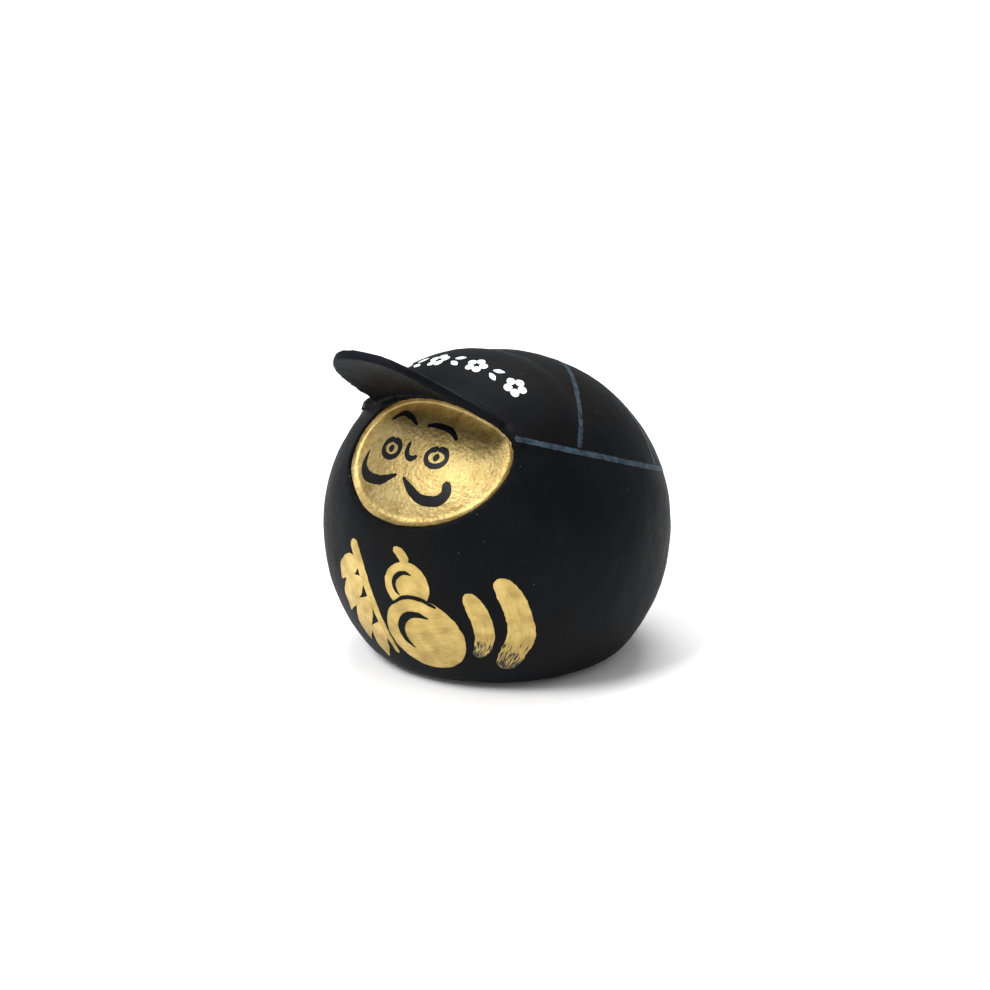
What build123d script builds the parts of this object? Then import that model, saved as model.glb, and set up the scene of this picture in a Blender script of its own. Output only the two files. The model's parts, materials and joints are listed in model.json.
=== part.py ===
from build123d import *
import math
import os

# A round papier-mache daruma doll that wears a moulded cap with an upturned visor.
# Millimetres, +Z up, origin on the ground under the middle of the body. The face looks along -Y.
# Left and right are those of a person who faces the doll, so right is +X.

# ---- round body ----
body_diameter = 110.0
centre_height = 40.0          # middle of the round body above the ground
belly_fullness = 3.3          # the lower half is an arc whose centre lies this far across the axis
foot_radius = 11.0            # round edge where the body turns under
pulp_wall = 1.9               # moulded paper pulp
coat_thickness = 0.5          # chalk ground and black paint
base_paper_thickness = 0.5
base_paper_margin = 1.4       # from the edge of the flat foot
opening_share = 0.7           # hole in the foot for mould and weight, as a share of the flat foot's radius

# ---- weight ----
weight_clearance = 0.2
weight_share = 0.87           # how far the clay spreads over the foot, as a share of the flat foot's radius
weight_height = 10.0          # above the foot, inside

# ---- slit in the back, cut to free the shell from its mould ----
slit_width = 0.3
slit_top = 78.0
strip_width = 12.0
strip_thickness = 0.25

# ---- cap crown, a swelling over the forehead ----
crown_latitude = 70.5         # direction of the crown's own axis from the middle of the body
crown_offset = 0.2236 * body_diameter      # how far that axis lies from the middle of the body
crown_swell = 3.8             # how far the crown stands proud of the body
crown_side_inset = 0.069 * body_diameter   # how far the crown's ends lie inside the body's widest part

# ---- visor ----
visor_latitude = 62.2
visor_sink = 0.0482 * body_diameter        # how far the visor's root line starts below the body's surface
visor_pitch = 29.4
visor_arch_radius = 0.62 * body_diameter
visor_length = 44.6
visor_half_width = 0.2136 * body_diameter
visor_thickness = 2.2
wrap_thickness = 0.4
side_power = 3.6              # how square the visor's sides are in plan
flare_width = 0.049 * body_diameter        # how far each side spreads at the root line
flare_length = 0.109 * body_diameter
bead_size = 2.6               # paper-clay bead along the visor's upper root

# ---- face ----
face_latitude = 33.6
face_width = 0.509 * body_diameter
face_shift = 2.3              # the hollow sits a little to the right of the visor's middle
face_height = 0.307 * body_diameter        # as seen from the front
face_depth = 3.8
face_floor_radius = 0.591 * body_diameter
gold_thickness = 0.3

# ---- paint ----
paint_thickness = 0.2
cap_line_width = 1.8
hem_tilt = 20.0               # the hem's axis leans back
hem_share = 0.504             # hem plane from the middle of the body, as a share of the body's radius
hem_gap = 0.6                 # between the hem's ends and the rim of the face
seam_tilt = 28.0              # the point where the seams meet leans back
seam_start = 2.6
robe_inner_width = 5.2
robe_outer_width = 5.8

body_radius = body_diameter / 2
flat_height = base_paper_thickness
reach = 3 * body_diameter     # longer than anything it has to cut
middle = Pos(0, 0, centre_height)

os.makedirs("parts", exist_ok=True)


def save(name, shape):
    """Write one piece to its own file."""
    shape.label = name
    export_step(shape, f"parts/{name}.step")


def arc(centre, radius, start, stop):
    """Arc about centre between two angles, in degrees from the horizontal."""
    angles = [math.radians(a) for a in (start, (start + stop) / 2, stop)]
    return ThreePointArc(*[(centre[0] + radius * math.cos(a), centre[1] + radius * math.sin(a)) for a in angles])


# The foot circle touches the lower arc and the flat, so its centre is the same at every layer.
foot_centre_height = flat_height + foot_radius
foot_drop = centre_height - foot_centre_height
foot_centre = math.sqrt((body_radius + belly_fullness - foot_radius) ** 2 - foot_drop ** 2) - belly_fullness
opening_radius = opening_share * foot_centre


def round_body(grow):
    """The body without its crown, with every surface moved outwards by grow."""
    radius = body_radius + grow
    turn = -math.degrees(math.atan2(foot_drop, foot_centre + belly_fullness))
    outline = arc((0, centre_height), radius, 90, 0)
    outline += arc((-belly_fullness, centre_height), radius + belly_fullness, 0, turn)
    outline += arc((foot_centre, foot_centre_height), foot_radius + grow, turn, -90)
    outline += Line((foot_centre, flat_height - grow), (0, flat_height - grow))
    outline += Line((0, flat_height - grow), (0, centre_height + radius))
    return revolve(make_face(Plane.XZ * outline), Axis.Z)


def crown(grow):
    """Swelling of the cap: a barrel that lies across the head, round about an axis along X."""
    lean = math.radians(crown_latitude)
    height = body_radius + crown_swell - crown_offset
    half_length = body_radius - crown_side_inset
    arc_radius = (half_length ** 2 + height ** 2) / (2 * height)
    drop = arc_radius - height
    end = math.sqrt((arc_radius + grow) ** 2 - drop ** 2)
    outline = ThreePointArc((-end, 0), (0, height + grow), (end, 0)) + Line((end, 0), (-end, 0))
    barrel = revolve(make_face(outline), Axis.X)
    return Pos(0, -crown_offset * math.cos(lean), centre_height + crown_offset * math.sin(lean)) * barrel


def body(grow):
    """The whole outside of the doll's body, moved outwards by grow."""
    return round_body(grow) + crown(grow)


def face_space(inset, lift):
    """Space in front of the face floor, inset from its rim and lifted off its floor."""
    lean = math.radians(face_latitude)
    rim = Ellipse(face_width / 2 - inset, face_height / 2 - inset)
    rim = Pos(face_shift, centre_height + body_radius * math.sin(lean)) * rim
    back = face_floor_radius - body_radius + face_depth
    floor_centre = Pos(0, back * math.cos(lean), centre_height - back * math.sin(lean))
    return extrude(Plane.XZ * rim, reach) - floor_centre * Sphere(face_floor_radius + lift)


def seen_from_front(longitude, latitude):
    """Place on the front view of a point of the body, given as angles from the middle of the face side."""
    across = body_radius * math.sin(math.radians(longitude)) * math.cos(math.radians(latitude))
    return Vector(across, centre_height + body_radius * math.sin(math.radians(latitude)))


def stroke(places, widths):
    """Brush stroke on the front view through (longitude, latitude) places, with its width at each."""
    points = [seen_from_front(*place) for place in places]
    left = []
    right = []
    for i, point in enumerate(points):
        along = (points[min(i + 1, len(points) - 1)] - points[max(i - 1, 0)]).normalized()
        side = Vector(-along.Y, along.X) * (widths[i] / 2)
        left.append(point + side)
        right.append(point - side)
    outline = Spline(*left) + Line(left[-1], right[-1]) + Spline(*reversed(right)) + Line(right[0], left[0])
    return make_face(outline)


def print_from_front(shape, layer):
    """Lay a front-view shape on a thin layer of the front of the doll."""
    return extrude(Plane.XZ * shape, reach) & layer


# ---- body shell and what closes it ----
coated = body(0)
pulp_outside = body(-coat_thickness)
cavity = body(-coat_thickness - pulp_wall)
pulp_outside -= face_space(-coat_thickness, -coat_thickness)
cavity -= face_space(-coat_thickness - pulp_wall, -coat_thickness - pulp_wall)
opening = extrude(Circle(opening_radius), flat_height + foot_radius)
slit = Box(slit_width, body_diameter, slit_top, align=(Align.CENTER, Align.MIN, Align.MIN))
paper_shell = pulp_outside - cavity - opening - slit

strip_skin = body(strip_thickness - coat_thickness) - body(-coat_thickness)
strip_start = foot_centre
strip_box = Pos(0, strip_start, flat_height + pulp_wall) * Box(
    strip_width, body_diameter, slit_top, align=(Align.CENTER, Align.MIN, Align.MIN))
back_strip = strip_skin & strip_box

base_paper = extrude(Circle(foot_centre - base_paper_margin), base_paper_thickness)
inside_floor = flat_height + coat_thickness + pulp_wall
plug = Pos(0, 0, flat_height) * extrude(Circle(opening_radius - weight_clearance), inside_floor - flat_height)
flange = Pos(0, 0, inside_floor) * extrude(Circle(weight_share * foot_centre), weight_height)
clay_weight = fillet((plug + flange).edges().group_by(Axis.Z)[-1], weight_height / 3)

# ---- visor: a card arched across, pasted to the pulp and wrapped in paper ----
pitch = math.radians(visor_pitch)
root_angle = math.radians(visor_latitude)
root_distance = body_radius - visor_sink
visor_up = Vector(0, math.sin(pitch), math.cos(pitch))
visor_plane = Plane(
    origin=(0, -root_distance * math.cos(root_angle), centre_height + root_distance * math.sin(root_angle)),
    x_dir=(1, 0, 0), z_dir=visor_up)


def visor_plan(inset):
    """Plan of the visor: a superellipse that flares at its root, with straight sides behind it."""
    width = visor_half_width - inset
    length = visor_length - inset
    steps = 8
    side = []
    for i in range(steps):
        turn = math.pi / 2 * (i / steps) ** 1.6
        out = length * math.sin(turn)
        flare = flare_width * max(0, 1 - out / flare_length) ** 2
        side.append((width * math.cos(turn) ** (2 / side_power) + flare, -out))
    mirrored = [(-x, y) for x, y in reversed(side)]
    edge = Spline(*side, (0, -length), *mirrored)
    root = side[0][0]
    back = Polyline((-root, 0), (-root, visor_length / 2), (root, visor_length / 2), (root, 0))
    return extrude(make_face(edge + back), visor_length, both=True)


def arched_layer(low, high):
    """Layer between two heights above the visor's arched underside."""
    outer = Cylinder(visor_arch_radius + high, reach) - Cylinder(visor_arch_radius + low, reach)
    return Pos(0, 0, -visor_arch_radius) * Rot(90, 0, 0) * outer


def visor_layer(inset, low, high):
    """One layer of the visor, before the body is cut away from it."""
    half = Pos(0, 0, visor_length) * Box(reach, reach, 2 * visor_length)
    return visor_plane * (visor_plan(inset) & arched_layer(low, high) & Pos(0, 0, -visor_length) * half)


visor_core = visor_layer(wrap_thickness, wrap_thickness, visor_thickness - wrap_thickness)
visor_outside = visor_layer(0, 0, visor_thickness)
visor_board = visor_core - body(-coat_thickness)
visor_wrap = visor_outside - visor_core - coated
bead_layer = visor_layer(0, visor_thickness, visor_thickness + bead_size)
visor_bead = (bead_layer & body(bead_size)) - coated

black_coat = coated - pulp_outside - face_space(0, 0) - opening - back_strip - visor_board

# ---- face: gold in the hollow, black brush marks on it ----
gold = (face_space(0, 0) & coated) - face_space(gold_thickness, gold_thickness)
face_layer = face_space(gold_thickness, gold_thickness) - face_space(gold_thickness, gold_thickness + paint_thickness)
face_strokes = {
    "brow_left": ([(-24.2, 44.4), (-20, 47.8), (-13.6, 47.6), (-6.6, 45.7)], (0.7, 1.3, 1.2, 0.6)),
    "brow_right": ([(-1, 46), (5, 46.8), (12, 45.8), (16.6, 42.9)], (0.7, 1.2, 1.3, 0.9)),
    "moustache_left": ([(-24.7, 32.8), (-22.8, 27.2), (-13.6, 25.1), (-4.4, 28.5)], (0.8, 2.9, 2.7, 0.8)),
    "moustache_right": (
        [(-1.3, 28.4), (3.8, 24.8), (10.5, 22.5), (17, 24.8), (16.7, 29.3)], (0.8, 2.4, 2.9, 3.2, 2.2)),
    "nose_mark": ([(-5, 39.5), (-4.4, 36), (-1.8, 34.3), (1.4, 35.6)], (0.9, 1.5, 1.5, 0.9)),
}
eye_places = {"eye_left": (-12.9, 35.8), "eye_right": (9.8, 36.2)}
eye_half_width = 4.2
eye_half_height = 3.0
eye_line = 1.5
pupil_radius = 0.8

# ---- paint on the black coat ----
above_foot = Pos(0, 0, flat_height) * Box(reach, reach, reach, align=(Align.CENTER, Align.CENTER, Align.MIN))
paint_layer = (body(paint_thickness) - coated) & above_foot
up_hem = Vector(0, math.sin(math.radians(hem_tilt)), math.cos(math.radians(hem_tilt)))
hem_plane = middle * Plane((0, 0, 0), x_dir=(1, 0, 0), z_dir=up_hem).offset(hem_share * body_radius)
hem_slab = hem_plane * Box(reach, reach, cap_line_width)
hem_line = (paint_layer & hem_slab) - face_space(-hem_gap, -hem_gap) - visor_outside - visor_bead

up_seam = Vector(0, math.sin(math.radians(seam_tilt)), math.cos(math.radians(seam_tilt)))
seam_plane = middle * Plane((0, 0, 0), x_dir=(0, -1, 0), z_dir=up_seam)
above_hem = hem_plane * Pos(0, 0, cap_line_width / 2) * Box(
    reach, reach, reach, align=(Align.CENTER, Align.CENTER, Align.MIN))
seam_angles = {
    "cap_seam_front_left": -56, "cap_seam_front_right": 56, "cap_seam_rear_left": -100,
    "cap_seam_rear_right": 100, "cap_seam_back": 180,
}


def seam(angle):
    """Painted seam from near the top of the cap to the hem, turned by angle from the front."""
    strip = Box(reach, cap_line_width, reach, align=(Align.MIN, Align.CENTER, Align.MIN))
    return paint_layer & seam_plane * Rot(0, 0, angle) * Pos(seam_start, 0, 0) * strip & above_hem


# Ornament on the front of the crown: plum blossoms with pairs of leaves between them, seen from above.
motif_pitch = 7.4
motif_count = 7
motif_line = -0.1545 * body_diameter       # distance of the row in front of the body's axis
motif_shift = -2.0
petal_radius = 1.45
petal_ring = 2.2
leaf_length = 3.4
leaf_width = 1.7


def blossom():
    """Five round petals about a bare middle."""
    return Sketch() + [place * Circle(petal_radius) for place in PolarLocations(petal_ring, 5, start_angle=90)]


def leaf_pair():
    """Two leaves, one above the other and leaning apart."""
    return Sketch() + [
        Pos(0, side * 1.6) * Rot(0, 0, side * 25) * Ellipse(leaf_length / 2, leaf_width / 2) for side in (-1, 1)]


def on_crown(first, motif):
    """Every second motif of the row from first, laid on the crown."""
    row = Sketch()
    for i in range(first, motif_count, 2):
        row += Pos(motif_shift + (i - (motif_count - 1) / 2) * motif_pitch, motif_line) * motif()
    return Pos(0, 0, centre_height) * extrude(row, reach) & paint_layer


# Ornament on the belly: a gourd with a cord about its waist, and a sprig of leaves beside it.
gourd_top = seen_from_front(8.4, -4.2)
gourd_bottom = seen_from_front(12.4, -21.3)
gourd_top_radius = 8.0
gourd_bottom_radius = 12.5
gourd_lean = 10.0
cord_gap = 1.1


def lobe(centre, radius, shine):
    """Round lobe of the gourd with a bare crescent, which is its shine."""
    crescent = Circle(radius * shine) - Pos(radius * 0.28, -radius * 0.2) * Circle(radius * shine)
    return Pos(*centre) * (Circle(radius) - crescent)


def pointed_leaf(root, tip, width):
    """Leaf between two (longitude, latitude) places, pointed at both ends."""
    start = seen_from_front(*root)
    end = seen_from_front(*tip)
    half = (start + end) / 2
    side = Vector(start.Y - end.Y, end.X - start.X).normalized() * (width / 2)
    return make_face(ThreePointArc(start, half + side, end) + ThreePointArc(end, half - side, start))


waist = gourd_bottom + (gourd_top - gourd_bottom) * (gourd_bottom_radius / (gourd_bottom_radius + gourd_top_radius))
gourd = lobe(gourd_top, gourd_top_radius, 0.5) + lobe(gourd_bottom, gourd_bottom_radius, 0.62)
gourd -= Pos(*waist) * Rot(0, 0, gourd_lean) * Rectangle(4 * gourd_top_radius, cord_gap)
gourd += stroke([(8.4, 3.1), (6.8, 5.7), (3.7, 7.8)], (3.4, 3.0, 2.4))
sprig = stroke([(-14.8, 6.3), (-11.0, -1.0), (-7.4, -10.5), (-4.7, -20.2), (-1.9, -33.1)], (3.6, 3.4, 3.0, 2.4, 1.8))
sprig_leaves = [
    ((-11.0, 0.0), (-23.3, -9.4), 6.5),
    ((-9.5, -5.2), (-22.3, -20.8), 7.5),
    ((-7.5, -11.5), (-16.7, -31.2), 7.5),
    ((-5.0, -20.2), (-9.8, -36.9), 6.0),
]
for root, tip, width in sprig_leaves:
    sprig += pointed_leaf(root, tip, width)

robe_inner = [(28.6, -4.2), (31.8, -10.5), (33.8, -16.9), (33.5, -23.6), (31.2, -28.8)]
robe_outer = [(38.6, 1.0), (42.5, -5.7), (45.1, -12.6), (46.2, -19.1), (44.2, -25.9), (41.3, -34.3)]
robe_widths = {
    "inner": [share * robe_inner_width for share in (0.7, 1, 1, 0.8, 0.3)],
    "outer": [share * robe_outer_width for share in (0.7, 1, 1, 1, 0.9, 0.3)],
}

# ---- the pieces ----
save("paper_shell", paper_shell)
save("black_coat", black_coat)
save("back_slit_strip", back_strip)
save("clay_weight", clay_weight)
save("base_paper", base_paper)
save("visor_board", visor_board)
save("visor_wrap", visor_wrap)
save("visor_root_bead", visor_bead)
save("face_gold", gold)
for name, (places, widths) in face_strokes.items():
    save(name, print_from_front(stroke(places, widths), face_layer))
for name, place in eye_places.items():
    eye = Ellipse(eye_half_width, eye_half_height) - Ellipse(eye_half_width - eye_line, eye_half_height - eye_line)
    eye += Circle(pupil_radius)
    save(name, print_from_front(Pos(*seen_from_front(*place)) * eye, face_layer))
save("cap_hem_line", hem_line)
for name, angle in seam_angles.items():
    save(name, seam(angle))
save("cap_blossoms", on_crown(0, blossom))
save("cap_leaves", on_crown(1, leaf_pair))
save("belly_gourd", print_from_front(gourd, paint_layer))
save("belly_sprig", print_from_front(sprig, paint_layer))
for line, places in (("inner", robe_inner), ("outer", robe_outer)):
    save(f"robe_stripe_{line}", print_from_front(stroke(places, robe_widths[line]), paint_layer))
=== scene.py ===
"""Looks of a round papier-mache daruma doll that wears a moulded cap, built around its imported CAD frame."""
import json
import math

import bmesh
import bpy
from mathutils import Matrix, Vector

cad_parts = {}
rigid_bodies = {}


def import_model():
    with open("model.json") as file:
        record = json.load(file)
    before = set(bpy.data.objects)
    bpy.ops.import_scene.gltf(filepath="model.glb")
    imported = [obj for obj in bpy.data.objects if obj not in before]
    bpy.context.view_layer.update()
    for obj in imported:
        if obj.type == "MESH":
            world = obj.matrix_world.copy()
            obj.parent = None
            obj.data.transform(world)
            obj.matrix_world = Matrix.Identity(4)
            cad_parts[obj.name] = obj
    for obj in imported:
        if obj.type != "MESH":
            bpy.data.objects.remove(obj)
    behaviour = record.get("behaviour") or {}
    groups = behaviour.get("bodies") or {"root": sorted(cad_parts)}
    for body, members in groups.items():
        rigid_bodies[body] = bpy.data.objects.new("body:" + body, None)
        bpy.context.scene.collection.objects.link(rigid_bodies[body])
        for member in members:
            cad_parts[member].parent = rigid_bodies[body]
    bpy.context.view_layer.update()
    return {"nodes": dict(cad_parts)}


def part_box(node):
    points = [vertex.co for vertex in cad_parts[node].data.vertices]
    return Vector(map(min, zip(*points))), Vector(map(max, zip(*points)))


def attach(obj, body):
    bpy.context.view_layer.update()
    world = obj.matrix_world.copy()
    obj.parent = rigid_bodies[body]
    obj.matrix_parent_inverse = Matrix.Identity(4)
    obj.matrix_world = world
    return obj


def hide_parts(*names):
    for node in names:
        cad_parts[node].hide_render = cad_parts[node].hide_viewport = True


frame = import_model()

MM = 0.001

# ---- sizes taken from the frame, metres ----
coat_low, coat_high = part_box("black_coat")
BODY_RADIUS = (coat_high.x - coat_low.x) / 2
FLAT_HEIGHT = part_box("base_paper")[1].z
FACE_LOW, FACE_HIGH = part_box("face_gold")
FACE_HALF_WIDTH = (FACE_HIGH.x - FACE_LOW.x) / 2
FACE_HALF_HEIGHT = (FACE_HIGH.z - FACE_LOW.z) / 2
FACE_MIDDLE = (FACE_HIGH.z + FACE_LOW.z) / 2
FACE_SHIFT = (FACE_HIGH.x + FACE_LOW.x) / 2

# ---- sizes that the shell's maker works to ----
CENTRE_HEIGHT = 40 * MM
BELLY_FULLNESS = 3.3 * MM
FOOT_RADIUS = 11 * MM
CROWN_LATITUDE = math.radians(70.5)
CROWN_OFFSET = 24.6 * MM
CROWN_SWELL = 3.8 * MM
CROWN_SIDE_INSET = 7.6 * MM
FACE_DEPTH = 3.8 * MM
FACE_FLOOR_RADIUS = 65 * MM
FACE_LATITUDE = math.radians(33.6)
VISOR_LATITUDE = math.radians(62.2)
VISOR_SINK = 5.3 * MM
VISOR_PITCH = math.radians(29.4)
VISOR_ARCH = 68.2 * MM
VISOR_LENGTH = 44.6 * MM
VISOR_HALF_WIDTH = 23.5 * MM
VISOR_THICKNESS = 2.2 * MM
VISOR_FLARE = 5.4 * MM
VISOR_FLARE_LENGTH = 12 * MM
HEM_TILT = math.radians(20)
HEM_OFFSET = 27.7 * MM
SEAM_TILT = math.radians(28)
SEAM_START = 2.6 * MM
SEAM_TURNS = (-56, 56, -100, 100, 180)  # degrees round from the front
HEM_FRONT = 29 * MM             # half the gap in the hem, where the face and the visor are
CAP_LINE = 1.6 * MM
PAPER_LAP = 0.3 * MM            # ground built up over the visor's card
EDGE_LAP = 0.55 * MM            # the same, round its edge
VISOR_PARTING = 2.4 * MM        # how far out from the body the visor is parted from it
ROOT_BEAD_OUT = 9 * MM          # middle of the bead in the angle between crown and visor, out from the root
ROOT_BEAD_REACH = 12 * MM       # where the bead has run out, each way from there
RIM_LAP = 0.45 * MM             # gold leaf beyond the hollow's rim
LEAF_LIFT = 0.22 * MM           # how far the leaf stands on the ground
LEAF_THICKNESS = 0.4 * MM
LEAF_BED = 0.95 * MM            # how far the coat is let down behind the leaf
LEAF_BED_LAP = 0.2 * MM         # the same, beyond the hollow's rim
PULP_GRAIN = 0.65 * MM          # finest shape that the hand-smoothed ground holds
PAINT_LIFT = 0.12 * MM          # how far paint stands on what is under it
PAINT_DEPTH = 0.15 * MM         # thickness of a cap line, and how far strokes reach into what is under them
PAINT_EDGE = 50                 # degrees, the least turn that stays an edge in paint
SHADE_LIFT = 2.6                # black over gold, in paint lifts
STROKE_STEP = 0.5 * MM          # along a brush stroke
STROKE_ROW = 0.7 * MM           # across it
DRY_FROM = 0.45                 # share of a stroke's length before the brush starts to run dry
MERGE = 0.02 * MM               # points of a turned shell that are closer than this are one
LINE_MERGE = 0.06 * MM          # the same, in a painted line
CENTRE = Vector((0, 0, CENTRE_HEIGHT))
FAR = 4 * BODY_RADIUS           # longer than anything it has to cut


# ---------------------------------------------------------------- directions and shares

def forward(latitude):
    """Unit vector to the front, raised by latitude."""
    return Vector((0, -math.cos(latitude), math.sin(latitude)))


def upright(tilt):
    """Unit vector straight up, leaned back by tilt."""
    return Vector((0, math.sin(tilt), math.cos(tilt)))


def held(value):
    """A value held between 0 and 1."""
    return max(0, min(1, value))


def between(values, share):
    """Eased value at a share of the way through a list."""
    spot = min(share, 0.9999) * (len(values) - 1)
    i = int(spot)
    ease = (spot - i) ** 2 * (3 - 2 * (spot - i))
    return values[i] + (values[i + 1] - values[i]) * ease


def at_front(longitude, latitude):
    """Place on a flat sheet before the body, from degrees round and up."""
    turn, rise = math.radians(longitude), math.radians(latitude)
    return BODY_RADIUS * math.sin(turn) * math.cos(rise), BODY_RADIUS * math.sin(rise)


def from_place(place, radius, turn):
    """Place on the flat sheet at a radius from another, turned anticlockwise from the right."""
    return place[0] + radius * math.cos(turn), place[1] + radius * math.sin(turn)


VISOR_AHEAD = forward(VISOR_PITCH)
VISOR_UP = upright(VISOR_PITCH)
VISOR_ROOT = CENTRE + (BODY_RADIUS - VISOR_SINK) * forward(VISOR_LATITUDE)


# ---------------------------------------------------------------- small tools

def start_fresh():
    """Nothing selected, object mode."""
    if bpy.context.object and bpy.context.object.mode != "OBJECT":
        bpy.ops.object.mode_set(mode="OBJECT")
    bpy.ops.object.select_all(action="DESELECT")


def only(obj):
    """obj is the one selected and active object."""
    start_fresh()
    obj.select_set(True)
    bpy.context.view_layer.objects.active = obj
    return obj


def named(name):
    """Names the object just added."""
    obj = bpy.context.object
    obj.name = name
    obj.data.name = name
    return obj


def edit(obj):
    """Edit mode on obj, with its vertices all selected."""
    only(obj)
    bpy.ops.object.mode_set(mode="EDIT")
    bpy.ops.mesh.select_all(action="SELECT")


def select_by(obj, test):
    """In edit mode, selects the vertices whose place passes the test, and what lies between them."""
    bpy.ops.mesh.select_mode(type="VERT")
    mesh = bmesh.from_edit_mesh(obj.data)
    for vert in mesh.verts:
        vert.select = bool(test(vert.co))
    mesh.select_flush_mode()
    bmesh.update_edit_mesh(obj.data)


def put_down(obj):
    """Applies obj's place, turn and scale, so that its object sits at the origin."""
    only(obj)
    bpy.ops.object.transform_apply(location=True, rotation=True, scale=True)
    return obj


def apply_modifier(obj, kind, **settings):
    """Adds one modifier and applies it at once."""
    only(obj)
    modifier = obj.modifiers.new(kind.title(), kind)
    for key, value in settings.items():
        setattr(modifier, key, value)
    bpy.ops.object.modifier_apply(modifier=modifier.name)
    return obj


def cut(obj, tool, operation):
    """Boolean of obj with a tool that is used up."""
    apply_modifier(obj, "BOOLEAN", object=tool, operation=operation, solver="EXACT")
    bpy.data.objects.remove(tool)
    return obj


def joined(pieces, name):
    """Several meshes as one object."""
    start_fresh()
    for piece in pieces:
        piece.select_set(True)
    bpy.context.view_layer.objects.active = pieces[0]
    bpy.ops.object.join()
    return named(name)


def smooth(obj, angle=40):
    """Smooth shading that keeps edges sharper than angle."""
    only(obj)
    bpy.ops.object.shade_smooth_by_angle(angle=math.radians(angle))
    return obj


def cloud(name, size, depth=2):
    """Legacy cloud texture for the Displace modifier, with lumps of the given size."""
    texture = bpy.data.textures.new(name, "CLOUDS")
    texture.noise_scale = size
    texture.noise_depth = depth
    return texture


def on_piece(obj, name, material, slot, *nodes):
    """Names a finished piece, gives it material, and puts it in place of its CAD nodes, if any. slot is not
    used.
    """
    obj.name = name
    obj.data.name = name
    obj.data.materials.clear()
    obj.data.materials.append(material)
    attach(obj, "root")
    if nodes:
        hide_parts(*nodes)
    return obj


# ---------------------------------------------------------------- materials

def linear(hex_colour):
    """Linear RGBA from an sRGB hex colour."""
    channels = [int(hex_colour[i:i + 2], 16) / 255 for i in (1, 3, 5)]
    return [c / 12.92 if c <= 0.04045 else ((c + 0.055) / 1.055) ** 2.4 for c in channels] + [1.0]


def per_mm(size):
    """Pattern scale for Object coordinates, whose unit is the metre, from a size in millimetres."""
    return 1 / (size * MM)


def new_material(name):
    """Empty material with its shader."""
    material = bpy.data.materials.new(name)
    material.use_nodes = True
    return material, material.node_tree, material.node_tree.nodes["Principled BSDF"]


def add(tree, kind, inputs=None, **settings):
    """Adds a node. Each input is a value, or a socket to link from."""
    node = tree.nodes.new(kind)
    for key, value in settings.items():
        setattr(node, key, value)
    for key, value in (inputs or {}).items():
        if isinstance(value, bpy.types.NodeSocket):
            tree.links.new(value, node.inputs[key])
        else:
            node.inputs[key].default_value = value
    return node


def noise(tree, place, size, detail=3.0, roughness=0.5):
    """Noise with lumps of a size in millimetres."""
    inputs = {"Vector": place, "Scale": per_mm(size), "Detail": detail, "Roughness": roughness}
    return add(tree, "ShaderNodeTexNoise", inputs).outputs["Fac"]


def streaks(tree, stroke, scale, detail):
    """Noise drawn out along a brush stroke, with scale changes per millimetre along and across."""
    stretched = add(tree, "ShaderNodeMapping", {"Vector": stroke, "Scale": scale}).outputs["Vector"]
    inputs = {"Vector": stretched, "Scale": 1.0, "Detail": detail}
    return add(tree, "ShaderNodeTexNoise", inputs).outputs["Fac"]


def ramp(tree, value, stops):
    """Colour ramp from (position, sRGB hex) stops."""
    node = add(tree, "ShaderNodeValToRGB", {"Fac": value})
    while len(node.color_ramp.elements) < len(stops):
        node.color_ramp.elements.new(0.5)
    for element, (position, colour) in zip(node.color_ramp.elements, stops):
        element.position = position
        element.color = linear(colour)
    return node.outputs["Color"]


def fit(tree, value, low, high, to_low=0.0, to_high=1.0):
    """Moves a value from one range to another, held to the ends."""
    inputs = {"Value": value, "From Min": low, "From Max": high, "To Min": to_low, "To Max": to_high}
    return add(tree, "ShaderNodeMapRange", inputs).outputs["Result"]


def maths(tree, first, operation, second):
    """Arithmetic on two values."""
    return add(tree, "ShaderNodeMath", {0: first, 1: second}, operation=operation).outputs[0]


def weighted(tree, first, first_weight, second, second_weight):
    """Sum of two values, each times its weight."""
    return maths(tree, maths(tree, first, "MULTIPLY", first_weight), "ADD",
                 maths(tree, second, "MULTIPLY", second_weight))


def blend(tree, share, low, high):
    """Mix of two colours, each a socket or a linear colour."""
    return add(tree, "ShaderNodeMix", {0: share, 6: low, 7: high}, data_type="RGBA").outputs[2]


def bump(tree, height, depth, strength=1.0, under=None):
    """Bump of a depth in millimetres, over an earlier bump."""
    inputs = {"Height": height, "Distance": depth * MM, "Strength": strength}
    if under is not None:
        inputs["Normal"] = under
    return add(tree, "ShaderNodeBump", inputs).outputs["Normal"]


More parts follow.
